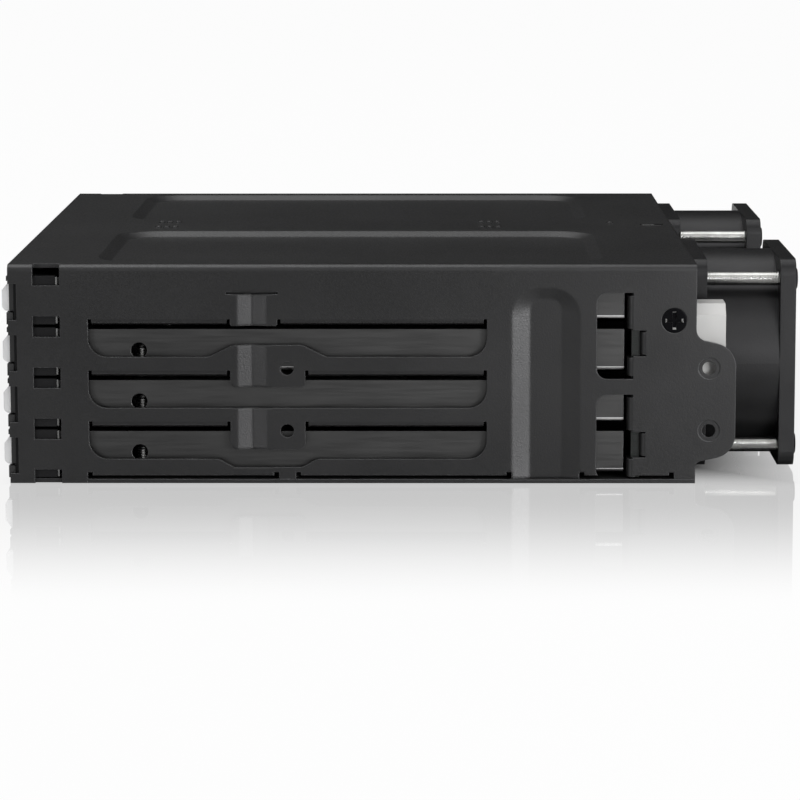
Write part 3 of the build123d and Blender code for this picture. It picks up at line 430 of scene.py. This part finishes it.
def cross_line(reach, half, height):
    """Twelve corners of a cross recess."""
    corners = []
    for arm in range(4):
        c, s = round(math.cos(arm * math.pi / 2)), round(math.sin(arm * math.pi / 2))
        for u, v in ((half, -half), (reach, -half), (reach, half)):
            corners.append((u * c - v * s, u * s + v * c, height))
    return corners


def upward(points, tri):
    """The same triangle, turned so that it faces up."""
    a, b, c = (Vector(points[i]) for i in tri)
    return tri if (b - a).cross(c - a).z > 0 else tuple(reversed(tri))


def driven_head(shape, profile, recess, place, end_kind=0):
    """Head with a cross recess, given as (reach, half width, depth, lower reach, lower half width)."""
    reach, half, depth, low_reach, low_half = recess
    shape.add(*turned(profile, HEAD_SIDES, close_high=False), place)
    radius, top = profile[-1]
    rim = ring(radius, top, HEAD_SIDES)
    mouth = cross_line(reach, half, top)
    flat = rim + mouth
    tris = tessellate_polygon([[Vector(p) for p in rim], [Vector(p) for p in mouth]])
    shape.add(flat, [upward(flat, tri) for tri in tris], place)
    floor = cross_line(low_reach, low_half, top - depth)
    corners = len(mouth)
    for i in range(corners):
        j = (i + 1) % corners
        # Each arm's end is the second of its three walls
        kind = end_kind if i % 3 == 1 else 0
        shape.add([mouth[i], mouth[j], floor[j], floor[i]], [(0, 1, 2, 3)], place, kind)
    tris = tessellate_polygon([[Vector(p) for p in floor]])
    shape.add(floor, [upward(floor, tri) for tri in tris], place)


def block(low, high, cut):
    """Block with cut edges all round its far end (+Y)."""
    (x0, y0, z0), (x1, y1, z1) = low, high
    rings = []
    for inset, y in ((0, y0), (0, y1 - cut), (cut, y1)):
        rings += [(x0 + inset, y, z0 + inset), (x1 - inset, y, z0 + inset),
                  (x1 - inset, y, z1 - inset), (x0 + inset, y, z1 - inset)]
    faces = [(0, 1, 2, 3), (11, 10, 9, 8)]
    for level in (0, 4):
        for i in range(4):
            j = (i + 1) % 4
            faces.append((level + i, level + 4 + i, level + 4 + j, level + j))
    return rings, faces


def leaf(x, z, width, start, end, thick, bow):
    """Contact leaf that runs along Y from start to end, with a bow in its middle."""
    points = []
    for i in range(LEAF_STEPS + 1):
        share = i / LEAF_STEPS
        y = start + (end - start) * share
        lift = bow * math.sin(math.pi * share)
        for dz in (0.0, thick):
            for dx in (-width / 2, width / 2):
                points.append((x + dx, y, z + lift + dz))
    last = 4 * LEAF_STEPS
    faces = [(0, 1, 3, 2), (last + 2, last + 3, last + 1, last)]
    for a in range(0, last, 4):
        b = a + 4
        faces += [(a, b, b + 1, a + 1), (a + 2, a + 3, b + 3, b + 2)]
        faces += [(a, a + 2, b + 2, b), (a + 1, b + 1, b + 3, a + 3)]
    return points, faces


# Bays: number, side and row of each tray
PAN_FLOOR = 1.87
ROW_PITCH = 9.7
TRAY_MIDDLE = 35.775
bays = [(number, -1 if number <= 4 else 1, (number - 1) % 4) for number in range(1, 9)]


# Screws: heads as (radius, height) pairs, recesses as driven_head takes them
THREAD_RADIUS = 1.45
CORE_RADIUS = 1.17
FAN_SCREW_SPOTS = [(side * x, z) for side in (-1, 1) for x in (22.4, 54.4) for z in (4.7, 36.7)]
FAN_SCREW_HEAD = 73.4
FAN_SCREW_TIP = 52.7
FAN_SCREW_POINT = 0.7
FAN_THREAD_STOP = 0.6
PAN_HEAD = [(1.2, 0.0), (2.4, 0.0), (2.45, 0.1), (2.45, 1.05), (2.36, 1.45), (2.12, 1.8), (1.8, 2.0)]
PAN_RECESS = (1.3, 0.3, 0.95, 0.5, 0.2)
COVER_SCREW_SPOT = (72.95, 50.73, 30.91)
COVER_THREAD_RADIUS = 1.5
COVER_THREAD_LENGTH = 1.38
COVER_CORE = [(0.8, -2.2), (1.22, -1.9), (1.22, -0.6)]
FLAT_NECK = 0.72
FLAT_HEAD = [(1.5, -FLAT_NECK), (2.3, -0.05), (2.34, 0.0), (2.2, 0.02)]
FLAT_RECESS = (1.66, 0.36, 0.45, 1.4, 0.3)
DRIVE_SCREW_ACROSS = 30.86
DRIVE_SCREW_ALONG = (-49.45, 27.15)
DRIVE_THREAD_LENGTH = 4.1
DRIVE_CORE = [(0.9, -4.5), (CORE_RADIUS, -DRIVE_THREAD_LENGTH), (CORE_RADIUS, -0.2)]
DRIVE_HEAD = [(1.2, -0.3), (2.35, -0.02), (2.4, 0.02), (2.25, 0.06)]
DRIVE_RECESS = (1.25, 0.28, 0.25, 0.7, 0.2)


def make_fan_screws():
    """Eight long threaded screws with black pan heads."""
    shape = Shape()
    length = FAN_SCREW_HEAD - FAN_SCREW_TIP
    core = [(0.3, -length), (CORE_RADIUS, FAN_SCREW_POINT - length), (CORE_RADIUS, 0.05)]
    for x, z in FAN_SCREW_SPOTS:
        place = facing((0, 1, 0), (x, FAN_SCREW_HEAD, z))
        shape.add(*thread(THREAD_RADIUS, length - FAN_THREAD_STOP), place, kind=1)
        shape.add(*turned(core, CORE_SIDES), place, kind=1)
        driven_head(shape, PAN_HEAD, PAN_RECESS, place)
    shape.finish("fan_screws_threaded", "cage", "screw_steel",
                 [materials["screw_black"], materials["screw_steel"]], replaces=("fan_screws",))


def make_cover_screws():
    """Two flat black screws whose recess ends are bright from wear."""
    shape = Shape()
    x, y, z = COVER_SCREW_SPOT
    below_neck = Matrix.Translation((0, 0, -FLAT_NECK))
    for side in (-1, 1):
        place = facing((side, 0, 0), (side * x, y, z))
        driven_head(shape, FLAT_HEAD, FLAT_RECESS, place, end_kind=1)
        shape.add(*thread(COVER_THREAD_RADIUS, COVER_THREAD_LENGTH), place @ below_neck)
        shape.add(*turned(COVER_CORE, CORE_SIDES), place)
    shape.finish("cover_screws_driven", "cage", "screw_black",
                 [materials["screw_black"], worn_steel], replaces=("cover_screws",))


def make_drive_screws(number, side, row):
    """Four short screws in a tray's floor, ready for a drive."""
    shape = Shape()
    low = PAN_FLOOR + ROW_PITCH * row
    for across in (-DRIVE_SCREW_ACROSS, DRIVE_SCREW_ACROSS):
        for y in DRIVE_SCREW_ALONG:
            place = facing((0, 0, -1), (side * TRAY_MIDDLE + across, y, low))
            shape.add(*thread(THREAD_RADIUS, DRIVE_THREAD_LENGTH), place)
            shape.add(*turned(DRIVE_CORE, CORE_SIDES), place)
            driven_head(shape, DRIVE_HEAD, DRIVE_RECESS, place)
    shape.finish(f"drive_screws_{number}", f"tray_{number}", "screw_steel", [nickel])


# Sheet details: the pans' lips, the clinch points, and the divider's tab in its slot
LIP_REACH = (35.2, 36.2)
LIP_ALONG = (-65.3, -64.9)
LIP_HEIGHT = (-0.75, 8.0)
LIP_CUT = 0.08
TOP_SEAT = 41.38
CLINCH = [(0.72, 0.0), (0.68, 0.12), (0.52, 0.26), (0.3, 0.34), (0.12, 0.36)]
CLINCH_SIDES = 20
CLINCH_STEP = 1.7
CLINCH_ROWS = [(x, y) for y in (-49.2, 17.3) for x in (-6.5, 3.6)]
CLINCH_SINGLE = (-4.9, 42.3)
# Low and high corner and cut edge, as (across, up, -along)
# The slot's open half is a dark block: a painted shadow
SLOT_SHADOW_BLOCK = ((-3.0, 41.36, -53.2), (-1.4, 41.42, -48.4), 0.02)
TAB_END = ((-1.3, 41.36, -51.3), (0.2, 41.6, -48.6), 0.12)


def make_pan_lip(number, side, row):
    """Steel lip of a tray pan, turned outward behind the front block, in a lighter steel than the pan as a
    painted highlight.
    """
    shape = Shape()
    low = PAN_FLOOR + ROW_PITCH * row
    left, right = sorted(side * (TRAY_MIDDLE + reach) for reach in LIP_REACH)
    (front, rear), (start, end) = LIP_ALONG, LIP_HEIGHT
    shape.add(*block((left, front, low + start), (right, rear, low + end), LIP_CUT))
    shape.finish(f"pan_lip_{number}", f"tray_{number}", "tray_steel", [lip_painted_highlight])


def make_clinch_points():
    """Low round clinch points that hold the divider's feet to the top plate."""
    shape = Shape()
    spots = [(x, y + CLINCH_STEP * step) for x, y in CLINCH_ROWS for step in (-1, 0, 1)]
    for x, y in spots + [CLINCH_SINGLE]:
        shape.add(*turned(CLINCH, CLINCH_SIDES), Matrix.Translation((x, y, TOP_SEAT)))
    shape.finish("clinch_points", "cage", "case_black", angle=60.0)


def make_divider_tab():
    """End of the divider's rear tab in the slot of the top plate, and a dark block as the painted shadow in
    the open half of that slot.
    """
    shape = Shape()
    upright = Matrix.Rotation(math.radians(90), 4, "X")
    shape.add(*block(*SLOT_SHADOW_BLOCK), upright)
    shape.add(*block(*TAB_END), upright, kind=1)
    shape.finish("divider_tab", "cage", "case_black", [painted_slot_shadow, tab_steel])


# Contacts of the drive sockets and of the data ports, which lie at one height in each row
CONTACT_PITCH = 1.27
SIGNAL_CONTACTS = 7
POWER_CONTACTS = 15
SIGNAL_FROM = -14.6
POWER_FROM = -3.2
SOCKET_SHIFT = 4.8
PORT_MIDDLE = 9.2
CONTACT_RISE = 4.92
DRIVE_LEAF = {"width": 0.7, "start": 37.35, "end": 41.3, "thick": 0.12, "bow": -0.2}
PORT_LEAF = {"width": 0.6, "start": 46.4, "end": 52.6, "thick": 0.1, "bow": 0.04}


def contact_row(start, count):
    return [start + CONTACT_PITCH * i for i in range(count)]


def make_drive_contacts():
    """Signal and power contacts in each drive socket: seven, a gap, and fifteen."""
    shape = Shape()
    places = contact_row(SIGNAL_FROM, SIGNAL_CONTACTS) + contact_row(POWER_FROM, POWER_CONTACTS)
    for number, side, row in bays:
        z = PAN_FLOOR + ROW_PITCH * row + CONTACT_RISE
        for x in places:
            shape.add(*leaf(side * TRAY_MIDDLE - SOCKET_SHIFT + x, z, **DRIVE_LEAF))
    shape.finish("drive_contacts", "cage", "contact")


def make_port_contacts():
    """Seven contacts on the tongue of each data port."""
    shape = Shape()
    first = -CONTACT_PITCH * (SIGNAL_CONTACTS - 1) / 2
    for number, side, row in bays:
        z = PAN_FLOOR + ROW_PITCH * row + CONTACT_RISE
        for x in contact_row(side * PORT_MIDDLE + first, SIGNAL_CONTACTS):
            shape.add(*leaf(x, z, **PORT_LEAF))
    shape.finish("port_contacts", "cage", "contact")


# Unmarked components on the board's rear face, between its air slots
BOARD_REAR = 44.4
BODY, METAL, SLEEVE = 0, 1, 2
# A size lies across and up, and a rise is how far a block's two ends stand out from the board's face
CHIP_RISE = (0.1, 1.5)
LEG_SIZE = (0.36, 1.0)
LEG_RISE = (0.02, 0.22)
LEG_OUT = 0.4
CAN_BASE_RIM = 0.3
CAN_BASE_RISE = (0.02, 0.9)
CAN_SIDES = 28
RESISTOR_LENGTH = 1.6
RESISTOR_WIDTH = 0.8
RESISTOR_END = 0.25
RESISTOR_RISE = (0.01, 0.46)
RESISTOR_END_RISE = (0.01, 0.42)
# Chips as (across, up, width, height, legs on a side), cans as (across, up, radius, height)
CHIPS = [(30.0, 15.87, 8.4, 3.6, 7), (45.5, 25.57, 6.2, 3.6, 5), (28.0, 35.3, 4.8, 3.0, 4)]
CANS = [(42.0, 6.0, 2.4, 5.4), (49.5, 6.0, 2.4, 5.4)]
# Rows of resistors as (start across, pitch, up, whether each stands upright)
RESISTOR_ROWS = [(38.2, 1.9, 15.9, True), (22.5, 2.6, 25.6, False), (37.0, 2.4, 35.3, True)]
RESISTORS_IN_ROW = 5


def add_on_board(shape, middle, size, rise, cut, kind=BODY):
    (x, z), (width, height), (near, far) = middle, size, rise
    low = (x - width / 2, BOARD_REAR + near, z - height / 2)
    high = (x + width / 2, BOARD_REAR + far, z + height / 2)
    shape.add(*block(low, high, cut), kind=kind)


def add_chip(shape, x, z, width, height, legs):
    """Small circuit with gull wing legs on two sides."""
    add_on_board(shape, (x, z), (width, height), CHIP_RISE, cut=0.12)
    for i in range(legs):
        leg = x + width * ((i + 0.5) / legs - 0.5)
        for way in (-1, 1):
            middle = (leg, z + way * (height / 2 + LEG_OUT))
            add_on_board(shape, middle, LEG_SIZE, LEG_RISE, cut=0.05, kind=METAL)


def add_can(shape, x, z, radius, height):
    """Electrolytic capacitor on its square base, standing out from the board."""
    base = 2 * (radius + CAN_BASE_RIM)
    add_on_board(shape, (x, z), (base, base), CAN_BASE_RISE, cut=0.2)
    profile = [(radius * 0.94, 0.7), (radius, 0.9), (radius, 1.5), (radius * 0.93, 1.7), (radius, 1.9),
               (radius, height - 0.3), (radius * 0.9, height), (radius * 0.2, height - 0.02)]
    shape.add(*turned(profile, CAN_SIDES), facing((0, 1, 0), (x, BOARD_REAR, z)), kind=SLEEVE)


def add_resistor(shape, x, z, upright):
    """Two ended chip part, black between tinned ends."""
    out = (RESISTOR_LENGTH - RESISTOR_END) / 2
    between = RESISTOR_LENGTH - 2 * RESISTOR_END
    end = (RESISTOR_END, RESISTOR_END_RISE, METAL)
    for shift, (length, rise, kind) in ((-out, end), (0.0, (between, RESISTOR_RISE, BODY)), (out, end)):
        if upright:
            middle, size = (x, z + shift), (RESISTOR_WIDTH, length)
        else:
            middle, size = (x + shift, z), (length, RESISTOR_WIDTH)
        add_on_board(shape, middle, size, rise, cut=0.06, kind=kind)


def make_board_parts():
    shape = Shape()
    for side in (-1, 1):
        for x, *chip in CHIPS:
            add_chip(shape, side * x, *chip)
        for x, *can in CANS:
            add_can(shape, side * x, *can)
        for step in range(RESISTORS_IN_ROW):
            for start, pitch, z, upright in RESISTOR_ROWS:
                add_resistor(shape, side * (start + pitch * step), z, upright)
    shape.finish("board_parts", "cage", "board_mask", [materials["connector_black"], tin, can_sleeve])


make_fan_screws()
make_cover_screws()
make_clinch_points()
make_divider_tab()
make_drive_contacts()
make_port_contacts()
make_board_parts()
for bay in bays:
    make_drive_screws(*bay)
    make_pan_lip(*bay)


# Studio, in metres: pale floor that mirrors the part faintly, white surroundings, soft lamps
WHITE = (1.0, 1.0, 1.0, 1.0)
FLOOR_SIZE = 6.0
FLOOR_CELLS = 8
FLOOR_GREY = (0.35, 0.35, 0.35, 1.0)
FLOOR_WHITE = 0.97
FLOOR_MIRROR = 0.43
FLOOR_FRONT_SHARE = 0.05
PART_REACH = (("X", 0.073), ("Y", 0.0745))
# A fall is where a smooth change starts and where it ends
SHADOW_FALL = (-0.022, 0.004)
NEAR_FALL = (-0.005, 0.11)
FRONT_FALL = (-0.12, 0.06)
MIRROR_FALL = (0.115, 0.01)
FLAG_FAR_FALL = (-0.35, -0.75)
FLAG_LOW_FALL = (0.84, 0.6)
FLAG_DEPTH = 0.98
SOFT_LIGHT = 0.11
PART_MIDDLE = (0, 0, 0.02)
# Lamps as name, place, aim, size and power
LAMPS = [
    ("rear_side_key", (0.33, 0.20, 0.03), (0.07, 0.03, 0.02), 0.12, 1.1),
    ("front_side_key", (0.33, -0.20, 0.03), (0.07, -0.03, 0.02), 0.06, 0.12),
    ("overhead", (-0.15, -0.25, 0.9), PART_MIDDLE, 1.4, 11.5),
    ("overhead_strip", (0.05, -0.1, 0.8), PART_MIDDLE, 0.35, 1.6),
    ("side_fill", (0.95, 0.45, 0.6), PART_MIDDLE, 0.8, 5.0),
]


def make_floor():
    """White to the camera, grey to the light that falls on it, with a painted shadow under the part, and a
    faint mirror close to the part.
    """
    bpy.ops.mesh.primitive_grid_add(x_subdivisions=FLOOR_CELLS, y_subdivisions=FLOOR_CELLS,
                                    size=FLOOR_SIZE, location=(0, 0, 0))
    floor = bpy.context.object
    floor.name = "floor"
    n = material_nodes("floor_white")
    seen, blurred = n.rays()
    beyond = [n.math("SUBTRACT", n.math("ABSOLUTE", n.axis(axis)), reach) for axis, reach in PART_REACH]
    outside = n.math("MAXIMUM", *beyond)
    # Painted shade in blurred reflections: they find the floor darker close to the part and towards its
    # front
    near = n.remap(outside, 0.0, 1.0, *NEAR_FALL, smooth=True)
    front = n.remap(n.axis("Y"), FLOOR_FRONT_SHARE, 1.0, *FRONT_FALL, smooth=True)
    darker = n.math("MULTIPLY", blurred, n.math("SUBTRACT", 1.0, n.math("MULTIPLY", near, front)))
    seen = n.math("MULTIPLY", seen, n.math("SUBTRACT", 1.0, darker))
    # Painted shadow: under the part the floor loses its white glow
    light = n.remap(outside, 0.0, FLOOR_WHITE, *SHADOW_FALL, smooth=True)
    white = n.new("ShaderNodeEmission", {"Strength": 1.0})
    diffuse = n.new("ShaderNodeBsdfDiffuse", {"Color": FLOOR_GREY})
    base = n.mixed(n.math("MULTIPLY", seen, light), diffuse, white)
    # The mirror image fades with the distance from the part
    fade = n.remap(outside, 0.0, FLOOR_MIRROR, *MIRROR_FALL, smooth=True)
    mirror = n.new("ShaderNodeBsdfGlossy", {"Roughness": 0.0})
    floor.data.materials.append(n.close(n.mixed(fade, base, mirror)))


def make_world():
    """White surroundings; blurred reflections also meet a dark flag low on the far side."""
    world = bpy.data.worlds.new("studio")
    bpy.context.scene.world = world
    n = Nodes(world, "ShaderNodeOutputWorld")
    seen, blurred = n.rays()
    far = n.remap(n.axis("X", "Generated"), 0.0, 1.0, *FLAG_FAR_FALL, smooth=True)
    low = n.remap(n.axis("Z", "Generated"), 0.0, 1.0, *FLAG_LOW_FALL, smooth=True)
    flag = n.math("MULTIPLY", blurred, n.math("MULTIPLY", far, low))
    strength = n.math("SUBTRACT", 1.0, n.math("MULTIPLY", flag, FLAG_DEPTH))
    bright = n.new("ShaderNodeBackground", {"Color": WHITE, "Strength": strength})
    soft = n.new("ShaderNodeBackground", {"Color": WHITE, "Strength": SOFT_LIGHT})
    n.close(n.mixed(seen, soft, bright))


def make_lamp(name, place, aim, size, power):
    data = bpy.data.lights.new(name, "AREA")
    data.shape = "RECTANGLE"
    data.size = size
    data.size_y = size
    data.energy = power
    light = bpy.data.objects.new(name, data)
    bpy.context.scene.collection.objects.link(light)
    light.visible_camera = False
    light.location = place
    light.rotation_euler = (Vector(aim) - Vector(place)).to_track_quat("-Z", "Y").to_euler()


bpy.context.scene.view_settings.view_transform = "Standard"
make_camera()
make_floor()
make_world()
for lamp in LAMPS:
    make_lamp(*lamp)
